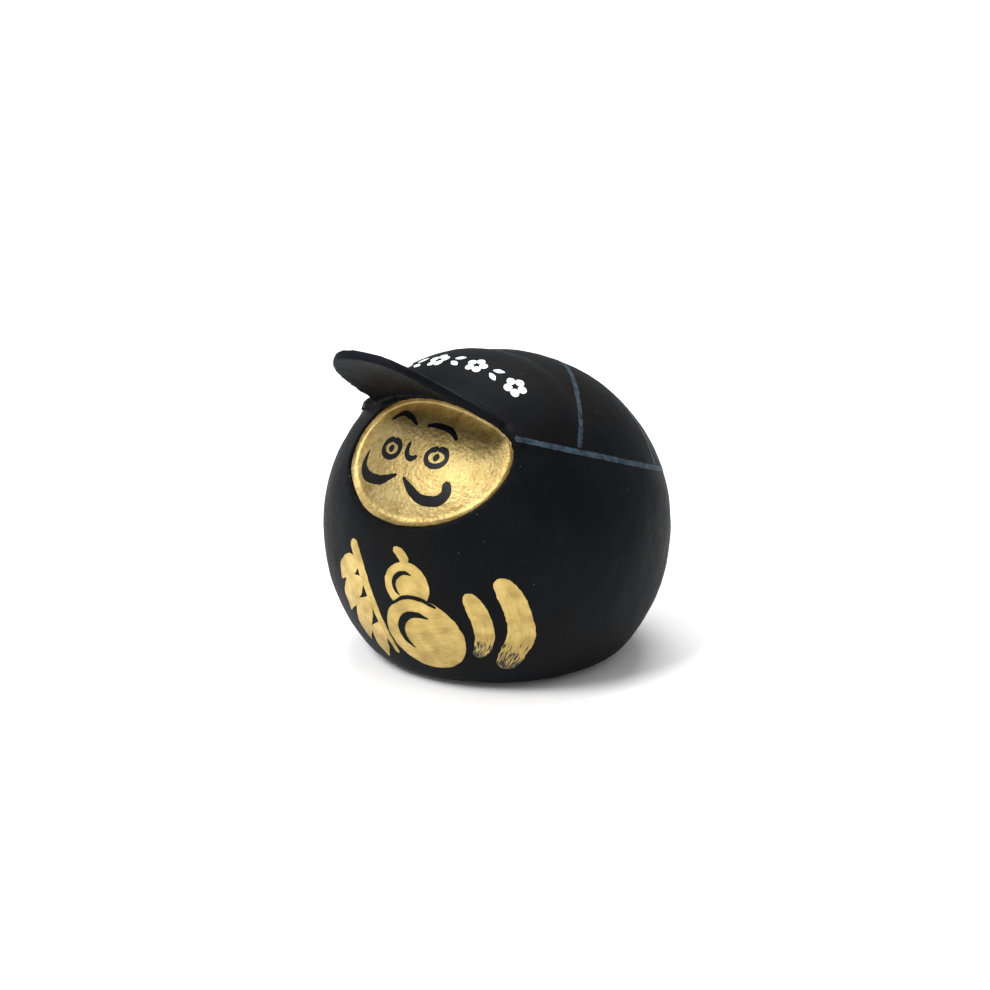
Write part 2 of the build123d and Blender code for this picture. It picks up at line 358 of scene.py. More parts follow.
def black_gouache():
    """Matte black gouache on chalk ground: near black, faintly blue, softly mottled, with specks of dust."""
    material, tree, shader = new_material("black gouache on chalk ground")
    place = add(tree, "ShaderNodeTexCoord").outputs["Object"]
    broad = noise(tree, place, 26, 3)
    fine = noise(tree, place, 1.6, 4, 0.6)
    tone = weighted(tree, broad, 0.6, fine, 0.4)
    colour = ramp(tree, tone, [(0.3, "#040507"), (0.5, "#080a0e"), (0.72, "#101319")])
    # Warmer where the paint is rubbed.
    warm = fit(tree, noise(tree, place, 34, 2), 0.5, 0.65, 0, 0.75)
    colour = blend(tree, warm, colour, ramp(tree, tone, [(0.3, "#060505"), (0.7, "#131110")]))
    # Dust: about one speck in each 3 mm, most of them left out.
    specks = add(tree, "ShaderNodeTexVoronoi", {"Vector": place, "Scale": per_mm(3)})
    near = fit(tree, specks.outputs["Distance"], 0.03, 0.075, 1, 0)
    lot = add(tree, "ShaderNodeSeparateColor", {0: specks.outputs["Color"]}).outputs[0]
    dust = maths(tree, near, "MULTIPLY", fit(tree, lot, 0.8, 0.85))
    colour = blend(tree, maths(tree, dust, "MULTIPLY", 0.45), colour, linear("#7b7a76"))
    tree.links.new(colour, shader.inputs["Base Color"])
    rough = fit(tree, tone, 0.3, 0.7, 0.5, 0.66)
    tree.links.new(rough, shader.inputs["Roughness"])
    shader.inputs["Specular IOR Level"].default_value = 0.07
    # Paper fibres under the ground, then shallow wrinkles where the ground dried.
    fibre = noise(tree, place, 0.5, 3, 0.65)
    wrinkle = noise(tree, place, 6, 4, 0.55)
    normal = bump(tree, fibre, 0.03, 0.5)
    normal = bump(tree, wrinkle, 0.22, 0.5, normal)
    tree.links.new(normal, shader.inputs["Normal"])
    return material


def leaf_gold():
    """Gold leaf laid by hand: metal, finely creased, browner where it is thin."""
    material, tree, shader = new_material("creased gold leaf")
    place = add(tree, "ShaderNodeTexCoord").outputs["Object"]
    broad = noise(tree, place, 9, 4, 0.6)
    crease = noise(tree, place, 1.5, 5, 0.7)
    flake = add(tree, "ShaderNodeTexVoronoi", {"Vector": place, "Scale": per_mm(1.1)})
    tone = weighted(tree, broad, 0.5, crease, 0.5)
    colour = ramp(tree, tone, [(0.3, "#7a663a"), (0.46, "#a68f58"), (0.6, "#c0aa72"), (0.74, "#dccc9c")])
    tree.links.new(colour, shader.inputs["Base Color"])
    shader.inputs["Metallic"].default_value = 0.8
    tree.links.new(fit(tree, crease, 0.3, 0.7, 0.33, 0.5), shader.inputs["Roughness"])
    normal = bump(tree, crease, 0.28, 0.7)
    normal = bump(tree, flake.outputs["Distance"], 0.14, 0.5, normal)
    normal = bump(tree, broad, 0.5, 0.5, normal)
    tree.links.new(normal, shader.inputs["Normal"])
    return material


def brush_gold():
    """Gold paint from a wide brush: mica in a dull binder, with the bristles' ridges along each stroke."""
    material, tree, shader = new_material("brushed gold paint")
    place = add(tree, "ShaderNodeTexCoord").outputs["Object"]
    stroke = add(tree, "ShaderNodeAttribute", attribute_name="stroke").outputs["Vector"]
    ridges = streaks(tree, stroke, (0.12, 2.2, 1), 4.0)
    grain = noise(tree, place, 0.7, 4, 0.6)
    blotch = noise(tree, place, 5, 3)
    tone = weighted(tree, ridges, 0.35, blotch, 0.65)
    colour = ramp(tree, tone, [(0.3, "#957e42"), (0.5, "#bba05a"), (0.7, "#d4bb78")])
    # Where the brush ran dry, the black coat shows between the bristles' tracks.
    dry = add(tree, "ShaderNodeSeparateXYZ", {0: stroke}).outputs["Z"]
    tracks = streaks(tree, stroke, (0.3, 2.8, 0), 3.0)
    bare = fit(tree, maths(tree, maths(tree, dry, "MULTIPLY", 0.36), "ADD", tracks), 0.74, 0.79)
    tree.links.new(blend(tree, bare, colour, linear("#0e1014")), shader.inputs["Base Color"])
    tree.links.new(fit(tree, bare, 0, 1, 0.5, 0.0), shader.inputs["Metallic"])
    tree.links.new(fit(tree, grain, 0.3, 0.7, 0.42, 0.6), shader.inputs["Roughness"])
    normal = bump(tree, ridges, 0.12, 0.6)
    normal = bump(tree, grain, 0.06, 0.5, normal)
    tree.links.new(normal, shader.inputs["Normal"])
    return material


def plain_paint(name, dark, light, rough, grain_size, grain_depth):
    """Opaque brush paint in one hue, a little uneven, with a fine grain."""
    material, tree, shader = new_material(name)
    place = add(tree, "ShaderNodeTexCoord").outputs["Object"]
    tone = noise(tree, place, 2.2, 4, 0.6)
    tree.links.new(ramp(tree, tone, [(0.3, dark), (0.7, light)]), shader.inputs["Base Color"])
    shader.inputs["Specular IOR Level"].default_value = 0.15
    tree.links.new(fit(tree, tone, 0.3, 0.7, rough - 0.07, rough + 0.07), shader.inputs["Roughness"])
    tree.links.new(bump(tree, noise(tree, place, grain_size, 3), grain_depth, 0.6), shader.inputs["Normal"])
    return material


def fibrous(name, dark, light, fibre_size, depth):
    """Bare pulp, paper or card: matted fibres, no shine."""
    material, tree, shader = new_material(name)
    place = add(tree, "ShaderNodeTexCoord").outputs["Object"]
    fibres = add(tree, "ShaderNodeMapping", {"Vector": place, "Scale": (1, 0.25, 1)}).outputs["Vector"]
    tone = noise(tree, fibres, fibre_size, 5, 0.65)
    tree.links.new(ramp(tree, tone, [(0.3, dark), (0.7, light)]), shader.inputs["Base Color"])
    shader.inputs["Roughness"].default_value = 0.9
    tree.links.new(bump(tree, tone, depth, 0.8), shader.inputs["Normal"])
    return material


def raw_clay():
    """Sun-dried clay of the weight: dull brown, gritty, with straw-coloured lumps."""
    material, tree, shader = new_material("sun-dried clay")
    place = add(tree, "ShaderNodeTexCoord").outputs["Object"]
    lumps = noise(tree, place, 5, 4)
    grit = noise(tree, place, 0.6, 3, 0.7)
    tree.links.new(ramp(tree, lumps, [(0.3, "#6e5138"), (0.7, "#a08261")]), shader.inputs["Base Color"])
    shader.inputs["Roughness"].default_value = 0.95
    normal = bump(tree, grit, 0.1, 0.7)
    tree.links.new(bump(tree, lumps, 0.5, 0.6, normal), shader.inputs["Normal"])
    return material


# ---------------------------------------------------------------- the body and its visor

def single_point(place):
    """A mesh of one vertex, in edit mode, ready to be drawn out into a profile."""
    start_fresh()
    bpy.ops.mesh.primitive_plane_add(size=BODY_RADIUS, location=(0, 0, 0))
    profile = bpy.context.object
    edit(profile)
    bpy.ops.mesh.merge(type="CENTER")
    bpy.ops.transform.translate(value=place)
    return profile


def sweep_end(centre, angle, steps):
    """Draws the selected end of a profile round a centre in the XZ plane, turning from up to right."""
    bpy.ops.mesh.spin(steps=steps, angle=angle, center=centre, axis=(0, -1, 0))


def turn_profile(profile, centre, axis, steps):
    """Turns a whole profile like a lathe into a closed shell."""
    bpy.ops.mesh.select_all(action="SELECT")
    bpy.ops.mesh.spin(steps=steps, angle=2 * math.pi, center=centre, axis=axis)
    bpy.ops.mesh.select_all(action="SELECT")
    bpy.ops.mesh.remove_doubles(threshold=MERGE)
    bpy.ops.mesh.normals_make_consistent(inside=False)
    start_fresh()
    return profile


def round_body():
    """Ball with a slightly fuller lower half and a rounded flat foot."""
    foot_height = FLAT_HEIGHT + FOOT_RADIUS
    foot_drop = CENTRE_HEIGHT - foot_height
    belly_reach = BODY_RADIUS + BELLY_FULLNESS - FOOT_RADIUS
    foot_middle = math.sqrt(belly_reach ** 2 - foot_drop ** 2) - BELLY_FULLNESS
    turn = math.atan2(foot_drop, foot_middle + BELLY_FULLNESS)
    profile = single_point((0, 0, CENTRE_HEIGHT + BODY_RADIUS))
    sweep_end(CENTRE, math.pi / 2, 44)
    sweep_end((-BELLY_FULLNESS, 0, CENTRE_HEIGHT), turn, 20)
    sweep_end((foot_middle, 0, foot_height), math.pi / 2 - turn, 8)
    bpy.ops.mesh.extrude_region_move(TRANSFORM_OT_translate={"value": (-foot_middle, 0, 0)})
    return turn_profile(profile, CENTRE, (0, 0, 1), 176)


def crown_swelling():
    """Barrel across the forehead, which makes the front of the crown stand up like a cap's front panel."""
    height = BODY_RADIUS + CROWN_SWELL - CROWN_OFFSET
    half_length = BODY_RADIUS - CROWN_SIDE_INSET
    radius = (half_length ** 2 + height ** 2) / (2 * height)
    middle = CENTRE + CROWN_OFFSET * forward(CROWN_LATITUDE)
    profile = single_point(middle - Vector((half_length, 0, 0)))
    sweep_end(middle - Vector((0, 0, radius - height)), 2 * math.asin(half_length / radius), 72)
    return turn_profile(profile, middle, (1, 0, 0), 160)


def face_tool():
    """What is taken out for the face: an oval bar that stops at the hollow's domed floor."""
    start_fresh()
    bpy.ops.mesh.primitive_cylinder_add(
        vertices=160, radius=1, depth=FAR, location=(FACE_SHIFT, -FAR / 2, FACE_MIDDLE),
        rotation=(math.pi / 2, 0, 0))
    tool = bpy.context.object
    tool.scale = (FACE_HALF_WIDTH, FACE_HALF_HEIGHT, 1)
    put_down(tool)
    back = FACE_FLOOR_RADIUS - BODY_RADIUS + FACE_DEPTH
    floor_centre = CENTRE - back * forward(FACE_LATITUDE)
    bpy.ops.mesh.primitive_uv_sphere_add(
        segments=192, ring_count=96, radius=FACE_FLOOR_RADIUS, location=floor_centre)
    return cut(tool, put_down(bpy.context.object), "DIFFERENCE")


def widen(times):
    """Spreads what is selected to each side of the middle."""
    bpy.ops.transform.resize(value=(times, 1, 1), center_override=(0, 0, 0))


def visor_plan():
    """Flat outline of the visor, in edit mode: parallel sides, a long round front and a flared root."""
    half_width = VISOR_HALF_WIDTH + EDGE_LAP
    length = VISOR_LENGTH + EDGE_LAP
    # The corners are rounded, a little fuller than a circle, on a shortened plan. It is then drawn out, which
    # gives the long round front.
    corner_width = 0.75 * half_width
    stretch = 0.9 * length / corner_width
    back = 15 * MM
    start_fresh()
    bpy.ops.mesh.primitive_plane_add(size=1, location=(0, (back - length) / 2 / stretch, 0))
    plan = bpy.context.object
    plan.scale = (2 * half_width, (back + length) / stretch, 1)
    put_down(plan)
    edit(plan)
    select_by(plan, lambda p: p.y < 0)
    bpy.ops.mesh.bevel(offset=corner_width, segments=18, affect="VERTICES", profile=0.53)
    bpy.ops.mesh.select_all(action="SELECT")
    bpy.ops.transform.resize(value=(1, stretch, 1), center_override=(0, 0, 0))
    steps = 6
    for i in range(steps + 1):
        out = VISOR_FLARE_LENGTH * i / steps
        bpy.ops.mesh.select_all(action="SELECT")
        bpy.ops.mesh.bisect(plane_co=(0, -out, 0), plane_no=(0, 1, 0))
        select_by(plan, lambda p: abs(p.y + out) < 0.01 * MM)
        widen(1 + VISOR_FLARE * (1 - i / steps) ** 2 / VISOR_HALF_WIDTH)
    select_by(plan, lambda p: p.y > 1 * MM)
    widen(1 + VISOR_FLARE / VISOR_HALF_WIDTH)
    return plan


def visor_solid():
    """Visor's plan drawn up, then cut to the arch across by its upper and its under side."""
    plan = visor_plan()
    bpy.ops.mesh.select_all(action="SELECT")
    bpy.ops.mesh.extrude_region_move(TRANSFORM_OT_translate={"value": (0, 0, VISOR_ARCH / 2)})
    bpy.ops.mesh.select_all(action="SELECT")
    bpy.ops.transform.translate(value=(0, 0, -VISOR_ARCH / 3))
    bpy.ops.mesh.normals_make_consistent(inside=False)
    for extra, operation in ((VISOR_THICKNESS + PAPER_LAP, "INTERSECT"), (-PAPER_LAP, "DIFFERENCE")):
        start_fresh()
        bpy.ops.mesh.primitive_cylinder_add(
            vertices=320, radius=VISOR_ARCH + extra, depth=FAR, location=(0, 0, -VISOR_ARCH),
            rotation=(math.pi / 2, 0, 0))
        cut(plan, put_down(bpy.context.object), operation)
    plan.location = VISOR_ROOT
    plan.rotation_euler = (-VISOR_PITCH, 0, 0)
    return put_down(plan)


def in_root_bead(place):
    """Share of the clay bead's smoothing: whole in the angle above the visor's root, less to each side."""
    from_root = place - VISOR_ROOT
    out = from_root.dot(VISOR_AHEAD)
    across = abs(place.x)
    arch_drop = VISOR_ARCH - math.sqrt(VISOR_ARCH ** 2 - min(across, VISOR_ARCH / 2) ** 2)
    rise = from_root.dot(VISOR_UP) + arch_drop
    near = 1 - abs(out - ROOT_BEAD_OUT) / ROOT_BEAD_REACH
    over = (rise - 1.6 * MM) / (1 * MM)
    inboard = (VISOR_HALF_WIDTH - 1 * MM - across) / (4 * MM)
    return held(2 * near) * held(over) * held(inboard)


def on_visor(place):
    """Share of the paper wrap's smoothing: none on the body, all of it from 6 mm out."""
    return held(((place - CENTRE).dot(VISOR_AHEAD) - BODY_RADIUS) / (6 * MM))


def rubbed(shell, name, share_at, passes):
    """Smooths the shell, at each place by the share that share_at gives it."""
    group = shell.vertex_groups.new(name=name)
    for vert in shell.data.vertices:
        share = share_at(vert.co)
        if share > 0:
            group.add([vert.index], share, "REPLACE")
    apply_modifier(shell, "SMOOTH", factor=0.5, iterations=passes, vertex_group=name)


def moulded_shell():
    """Body, crown, face hollow and visor in one skin, smoothed as wet ground is smoothed by hand."""
    shell = cut(round_body(), crown_swelling(), "UNION")
    shell = cut(shell, face_tool(), "DIFFERENCE")
    shell = joined([shell, visor_solid()], "moulded_shell")
    apply_modifier(shell, "REMESH", mode="VOXEL", voxel_size=PULP_GRAIN)
    apply_modifier(shell, "SMOOTH", factor=0.5, iterations=4)
    # Paper clay is worked into the angle between crown and visor until it runs smoothly from one to the other.
    rubbed(shell, "root_bead", in_root_bead, 45)
    rubbed(shell, "visor_edge", on_visor, 6)
    for name, size, depth in (("hand unevenness", 17, 0.55), ("ground ripple", 5, 0.16)):
        apply_modifier(shell, "DISPLACE", texture=cloud(name, size * MM), strength=depth * MM, mid_level=0.5)
    return shell


def split_visor(shell):
    """Parts the visor from the shell across its root, and closes both."""
    line = CENTRE + VISOR_AHEAD * (BODY_RADIUS + VISOR_PARTING)
    edit(shell)
    bpy.ops.mesh.bisect(plane_co=line, plane_no=VISOR_AHEAD)
    select_by(shell, lambda p: (p - line).dot(VISOR_AHEAD) > -1e-7)
    bpy.ops.mesh.select_mode(type="FACE")
    bpy.ops.mesh.separate(type="SELECTED")
    start_fresh()
    visor = [o for o in bpy.data.objects if o.name.startswith("moulded_shell.")][0]
    for piece in (shell, visor):
        edit(piece)
        bpy.ops.mesh.select_mode(type="EDGE")
        bpy.ops.mesh.select_all(action="DESELECT")
        bpy.ops.mesh.select_non_manifold()
        bpy.ops.mesh.edge_face_add()
    start_fresh()
    return shell, visor


# ---------------------------------------------------------------- paint laid on the surfaces

def facing_oval(place, half_width, half_height, points):
    """Flat oval that faces the front, in edit mode."""
    start_fresh()
    bpy.ops.mesh.primitive_circle_add(
        vertices=points, radius=1, fill_type="NGON", location=place, rotation=(math.pi / 2, 0, 0))
    oval = bpy.context.object
    oval.scale = (half_width, half_height, 1)
    put_down(oval)
    edit(oval)
    return oval


def laid_on(obj, target, axis, lift, thickness):
    """Lays a flat piece on a surface along an axis, then gives it a thickness under its top, if any."""
    apply_modifier(
        obj, "SHRINKWRAP", target=target, wrap_method="PROJECT", offset=lift,
        use_project_x=axis == "X", use_project_y=axis == "Y", use_project_z=axis == "Z",
        use_negative_direction=axis == "Z", use_positive_direction=axis != "Z")
    if thickness:
        apply_modifier(obj, "SOLIDIFY", thickness=thickness, offset=-1)
    return obj


def gold_dish(shell):
    """Gold leaf over the hollow's floor and wall, lapped a little over its rim."""
    middle = Vector((FACE_SHIFT, -2 * BODY_RADIUS, FACE_MIDDLE))
    half_width, half_height = FACE_HALF_WIDTH + RIM_LAP, FACE_HALF_HEIGHT + RIM_LAP
    dish = facing_oval(middle, half_width, half_height, 220)
    bpy.ops.transform.vertex_random(offset=0.2 * MM, uniform=1, normal=0, seed=4)
    # Close rings over the rim and down the wall, then even ones across the floor.
    wall_rings, floor_rings = 10, 34
    wall = 2.5 * MM
    insets = [wall * (i + 1) / wall_rings for i in range(wall_rings)]
    insets += [wall + (FACE_HALF_HEIGHT - wall) * (i + 1) / (floor_rings + 1) for i in range(floor_rings)]
    slender = FACE_HALF_WIDTH / FACE_HALF_HEIGHT
    for inset in insets:
        share = inset / FACE_HALF_HEIGHT
        new_height = (FACE_HALF_HEIGHT + RIM_LAP) * (1 - share)
        new_width = FACE_HALF_WIDTH + RIM_LAP - inset * max(1, slender * math.sqrt(share))
        bpy.ops.mesh.inset(thickness=0)
        bpy.ops.transform.resize(
            value=(new_width / half_width, 1, new_height / half_height), center_override=middle)
        half_width, half_height = new_width, new_height
    bpy.ops.mesh.poke()
    laid_on(dish, shell, "Y", LEAF_LIFT, 0)
    apply_modifier(dish, "SMOOTH", factor=0.5, iterations=70)
    return apply_modifier(dish, "SOLIDIFY", thickness=LEAF_THICKNESS, offset=-1)


def clear_behind(shell):
    """Lets the coat behind the gold leaf down a little, so that it does not show through the leaf."""
    half_width, half_height = FACE_HALF_WIDTH + LEAF_BED_LAP, FACE_HALF_HEIGHT + LEAF_BED_LAP
    edit(shell)
    select_by(shell, lambda p: p.y < -FACE_HALF_HEIGHT and math.hypot(
        (p.x - FACE_SHIFT) / half_width, (p.z - FACE_MIDDLE) / half_height) < 1)
    bpy.ops.transform.translate(value=(0, LEAF_BED, 0))
    start_fresh()


def brushed(places, widths, dry=0.0):
    """One brush stroke on the XY plane, through places in metres, with widths in millimetres and round ends.
    dry is how far the brush has run out of paint at the end. Each point keeps how far along and across the
    stroke it is, in millimetres, and its dryness."""
    start_fresh()
    bpy.ops.curve.primitive_bezier_curve_add()
    path = bpy.context.object
    path.data.dimensions = "2D"
    points = path.data.splines[0].bezier_points
    points.add(len(places) - 2)
    for point, place in zip(points, places):
        point.co = (place[0], place[1], 0)
        point.handle_left_type = point.handle_right_type = "AUTO"
    bpy.context.view_layer.update()
    length = path.data.splines[0].calc_length()
    columns = max(8, round(length / STROKE_STEP))
    rows = max(4, round(max(widths) * MM / STROKE_ROW))
    start_fresh()
    bpy.ops.mesh.primitive_grid_add(
        x_subdivisions=columns, y_subdivisions=rows, size=1, location=(length / 2, 0, 0))
    stroke = bpy.context.object
    stroke.scale = (length, 2, 1)
    put_down(stroke)
    keep = stroke.data.attributes.new("stroke", "FLOAT_VECTOR", "POINT")
    for vert in stroke.data.vertices:
        share = vert.co.x / length
        spent = max(0, share - DRY_FROM) / (1 - DRY_FROM)
        keep.data[vert.index].vector = (vert.co.x / MM, vert.co.y * max(widths) / 2, dry * spent)
    edit(stroke)
    for i in range(columns + 1):
        x = length * i / columns
        half = between(widths, i / columns) / 2 * MM
        # Round ends, not quite to a point.
        end = max(0.02, held(min(x, length - x) / min(half, length / 2)))
        half *= math.sqrt(1 - (1 - end) ** 2)
        select_by(stroke, lambda p: abs(p.x - x) < 0.1 * length / columns)
        bpy.ops.transform.resize(value=(1, half, 1), center_override=(x, 0, 0))
    apply_modifier(stroke, "CURVE", object=path, deform_axis="POS_X")
    bpy.data.objects.remove(path)
    return stroke


def rough_edged(obj, directions, amount=0.35):
    """Lets a flat stroke's outline wander, in millimetres."""
    for i, direction in enumerate(directions):
        apply_modifier(
            obj, "DISPLACE", texture=cloud("brush edge", (1.3 + 0.4 * i) * MM, 1), direction=direction,
            strength=amount * MM, mid_level=0.5)
    return obj


def front_paint(strokes, target, lift=1.0):
    """Stands flat strokes up before the body and lays them on a surface, each a little over the last."""
    laid = []
    for i, stroke in enumerate(strokes):
        stroke.location = (0, -2 * BODY_RADIUS, CENTRE_HEIGHT)
        stroke.rotation_euler = (math.pi / 2, 0, 0)
        rough_edged(put_down(stroke), "XZ")
        height = (lift + 0.25 * i) * PAINT_LIFT
        laid.append(laid_on(stroke, target, "Y", height, height + PAINT_DEPTH))
    return smooth(joined(laid, "front_paint"), PAINT_EDGE)


def crown_paint(strokes, target):
    """Lays flat strokes on the crown from above."""
    laid = []
    for stroke in strokes:
        stroke.location = (0, 0, CENTRE_HEIGHT + 2 * BODY_RADIUS)
        rough_edged(put_down(stroke), "XY", 0.2)
        laid.append(laid_on(stroke, target, "Z", PAINT_LIFT, PAINT_LIFT + PAINT_DEPTH))
    return smooth(joined(laid, "crown_paint"), PAINT_EDGE)


def front_stroke(places, widths, dry=0.0):
    """Brush stroke through places given in degrees round and up."""
    return brushed([at_front(*place) for place in places], widths, dry)


def ring(centre, size, width):
    """An oval in one turn of the brush, from the top round to the left. size is half its outer size."""
    across, rise = (half - width / 2 for half in size)
    turns = [math.radians(95 + 364 * i / 12) for i in range(13)]
    places = [(centre[0] + across * math.cos(turn), centre[1] + rise * math.sin(turn)) for turn in turns]
    return brushed(places, (width / MM, width / MM))


def dab(centre, radius, lean=0.0):
    """A round dab of paint, pressed down and lifted."""
    ends = [from_place(centre, -radius, lean), from_place(centre, radius, lean)]
    return brushed(ends, (2 * radius / MM, 2 * radius / MM))


def shine(centre, radius):
    """Crescent of black on the upper left of a gourd's lobe."""
    places = [from_place(centre, 0.56 * radius, math.radians(turn)) for turn in (62, 95, 130, 165, 200, 232)]
    across = 0.19 * radius / MM
    return brushed(places, (0.2 * across, 0.8 * across, 1.1 * across, across, 0.7 * across, 0.2 * across))


def painted_line(skin, point, across, keep):
    """Line of paint where a plane crosses the skin, only where keep allows."""
    only(skin)
    bpy.ops.object.duplicate()
    line = bpy.context.object
    line.vertex_groups.clear()
    edit(line)
    for side in (1, -1):
        bpy.ops.mesh.select_all(action="SELECT")
        bpy.ops.mesh.bisect(
            plane_co=point + across * (side * CAP_LINE / 2), plane_no=across * side, clear_outer=True)
    select_by(line, lambda p: not keep(p))
    bpy.ops.mesh.delete(type="VERT")
    bpy.ops.mesh.select_all(action="SELECT")
    bpy.ops.mesh.remove_doubles(threshold=LINE_MERGE)
    rough_edged(line, "XZ", 0.5)
    rough_edged(line, "Y", 0.5)
    apply_modifier(
        line, "SHRINKWRAP", target=skin, wrap_method="NEAREST_SURFACEPOINT", wrap_mode="ABOVE_SURFACE",
        offset=0.6 * PAINT_LIFT)
    return apply_modifier(line, "SOLIDIFY", thickness=PAINT_DEPTH, offset=-1)


def cap_lines(skin):
    """Hem and five seams of the cap, painted on the crown."""
    up_hem = upright(HEM_TILT)
    hem_point = CENTRE + up_hem * HEM_OFFSET
    lines = [painted_line(skin, hem_point, up_hem, lambda p: p.y > 0 or abs(p.x) > HEM_FRONT)]
    for degrees in SEAM_TURNS:
        turn = math.radians(degrees)
        along = forward(SEAM_TILT) * math.cos(turn) + Vector((math.sin(turn), 0, 0))
        lines.append(painted_line(
            skin, CENTRE, upright(SEAM_TILT).cross(along),
            lambda p: (p - CENTRE).dot(along) > SEAM_START and (p - hem_point).dot(up_hem) > CAP_LINE / 2))
    return smooth(joined(lines, "cap_lines"), PAINT_EDGE)


shell, visor = split_visor(moulded_shell())
dish = gold_dish(shell)
clear_behind(shell)

# Each brush stroke below is its places, in degrees round and up, then its widths in millimetres, then how far
# the brush has run dry at its end, if at all.

# ---- brush marks on the face ----
face_marks = {
    "brow_left": [((-24.2, 44.4), (-20, 47.8), (-13.6, 47.6), (-6.6, 45.7)), (0.8, 1.4, 1.3, 0.7)],
    "brow_right": [((-1, 46), (5, 46.8), (12, 45.8), (16.6, 42.9)), (0.8, 1.3, 1.4, 1.1)],
    "moustache_left": [((-24.7, 32.8), (-22.8, 27.2), (-13.6, 25.1), (-4.4, 28.5)), (0.6, 2.9, 2.7, 0.9)],
    "moustache_right": [
        ((-1.3, 28.4), (3.8, 24.8), (10.5, 22.5), (17, 24.8), (16.7, 29.3)), (0.9, 2.4, 2.9, 3.2, 2.5)],
    "nose_mark": [((-5, 39.5), (-4.4, 36), (-1.8, 34.3), (1.4, 35.6)), (1.1, 1.6, 1.6, 1.1)],
}
EYE_SIZE = (4.2 * MM, 3 * MM)
EYE_LINE = 1.5 * MM
PUPIL = 1 * MM
eyes = {"eye_left": (-12.9, 35.8), "eye_right": (9.8, 36.2)}
marks = {name: [front_stroke(*mark)] for name, mark in face_marks.items()}
for name, place in eyes.items():
    marks[name] = [ring(at_front(*place), EYE_SIZE, EYE_LINE), dab(at_front(*place), PUPIL)]

# ---- gold on the belly ----
GOURD_HEAD = at_front(8.4, -4.2)
GOURD_HEAD_RADIUS = 7.6 * MM
GOURD_BELLY = at_front(12.4, -21.3)
GOURD_BELLY_RADIUS = 12.5 * MM
WAIST = [(GOURD_BELLY[0] + GOURD_BELLY_RADIUS * x, GOURD_BELLY[1] + GOURD_BELLY_RADIUS * y) for x, y in (
    (-0.72, 0.72), (-0.3, 0.98), (0.1, 0.99), (0.5, 0.82))]
gourd = [
    dab(GOURD_BELLY, GOURD_BELLY_RADIUS, 0.3),
    dab(GOURD_HEAD, GOURD_HEAD_RADIUS, -0.4),
    front_stroke(((8.4, 3.1), (6.8, 5.7), (3.7, 7.8)), (3.4, 3.0, 2.4)),
]
gourd_shade = [
    shine(GOURD_BELLY, GOURD_BELLY_RADIUS),
    shine(GOURD_HEAD, GOURD_HEAD_RADIUS),
    brushed(WAIST, (0.7, 1.2, 1.2, 0.7)),
]
sprig_strokes = [
    [((-14.8, 6.3), (-11, -1), (-7.4, -10.5), (-4.7, -20.2), (-1.9, -33.1)), (3.6, 3.6, 3.0, 2.6, 1.6), 0.5],
    [((-11, 0), (-17.6, -3.2), (-23.3, -9.4)), (1.8, 6.5, 6.2, 1), 0.3],
    [((-9.5, -5.2), (-17, -11.4), (-22.3, -20.8)), (1.8, 7.5, 7, 1), 0.4],
    [((-7.5, -11.5), (-13.6, -20.2), (-16.7, -31.2)), (1.8, 7.5, 7, 1), 0.7],
    [((-5, -20.2), (-8.6, -27.6), (-9.8, -36.9)), (1.6, 6, 5.6, 1), 0.6],
]
sprig = [front_stroke(*stroke) for stroke in sprig_strokes]
robe = {
    "robe_stripe_inner": [
        ((28.6, -4.2), (31.8, -10.5), (33.8, -16.9), (33.5, -23.6), (31.2, -28.8)),
        (3.8, 5.4, 5.2, 4.4, 2.6)],
    "robe_stripe_outer": [
        ((38.6, 1), (42.5, -5.7), (45.1, -12.6), (46.2, -19.1), (44.2, -25.9), (41.3, -34.3)),
        (4.2, 6, 5.8, 5.8, 5.4, 4)],
}
stripes = {name: front_stroke(places, widths, 1.0) for name, (places, widths) in robe.items()}

# ---- plum blossoms and leaves on the crown ----
MOTIF_PITCH = 7.4 * MM
MOTIF_COUNT = 7
MOTIF_LINE = -17 * MM
MOTIF_SHIFT = -2 * MM
PETAL_OUT = 2.25 * MM
PETAL_RADIUS = 1.35 * MM
LEAF_RISE = 1.6 * MM
LEAF_HALF_LENGTH = 1.8 * MM
blossoms = []
leaves = []
for i in range(MOTIF_COUNT):
    x = MOTIF_SHIFT + (i - (MOTIF_COUNT - 1) / 2) * MOTIF_PITCH
    if i % 2 == 0:
        for k in range(5):
            turn = math.radians(90 + 72 * k)
            blossoms.append(dab(from_place((x, MOTIF_LINE), PETAL_OUT, turn), PETAL_RADIUS, turn))
    else:
        for side in (-1, 1):
            lean = math.radians(25 * side)
            middle = (x, MOTIF_LINE + LEAF_RISE * side)
            tips = [from_place(middle, end * LEAF_HALF_LENGTH, lean) for end in (-1, 1)]
            leaves.append(brushed(tips, (0.8, 1.9, 0.8)))

# ---- finished pieces and what they are made of ----
black_coat = black_gouache()
gold_paint = brush_gold()
mark_paint = plain_paint("black brush paint", "#060607", "#0f0f12", 0.42, 0.8, 0.03)
line_paint = plain_paint("blue-grey line paint", "#161e27", "#3c4b58", 0.62, 0.9, 0.05)
white_paint = plain_paint("white brush paint", "#e4e9f0", "#fbfdff", 0.5, 1.2, 0.04)

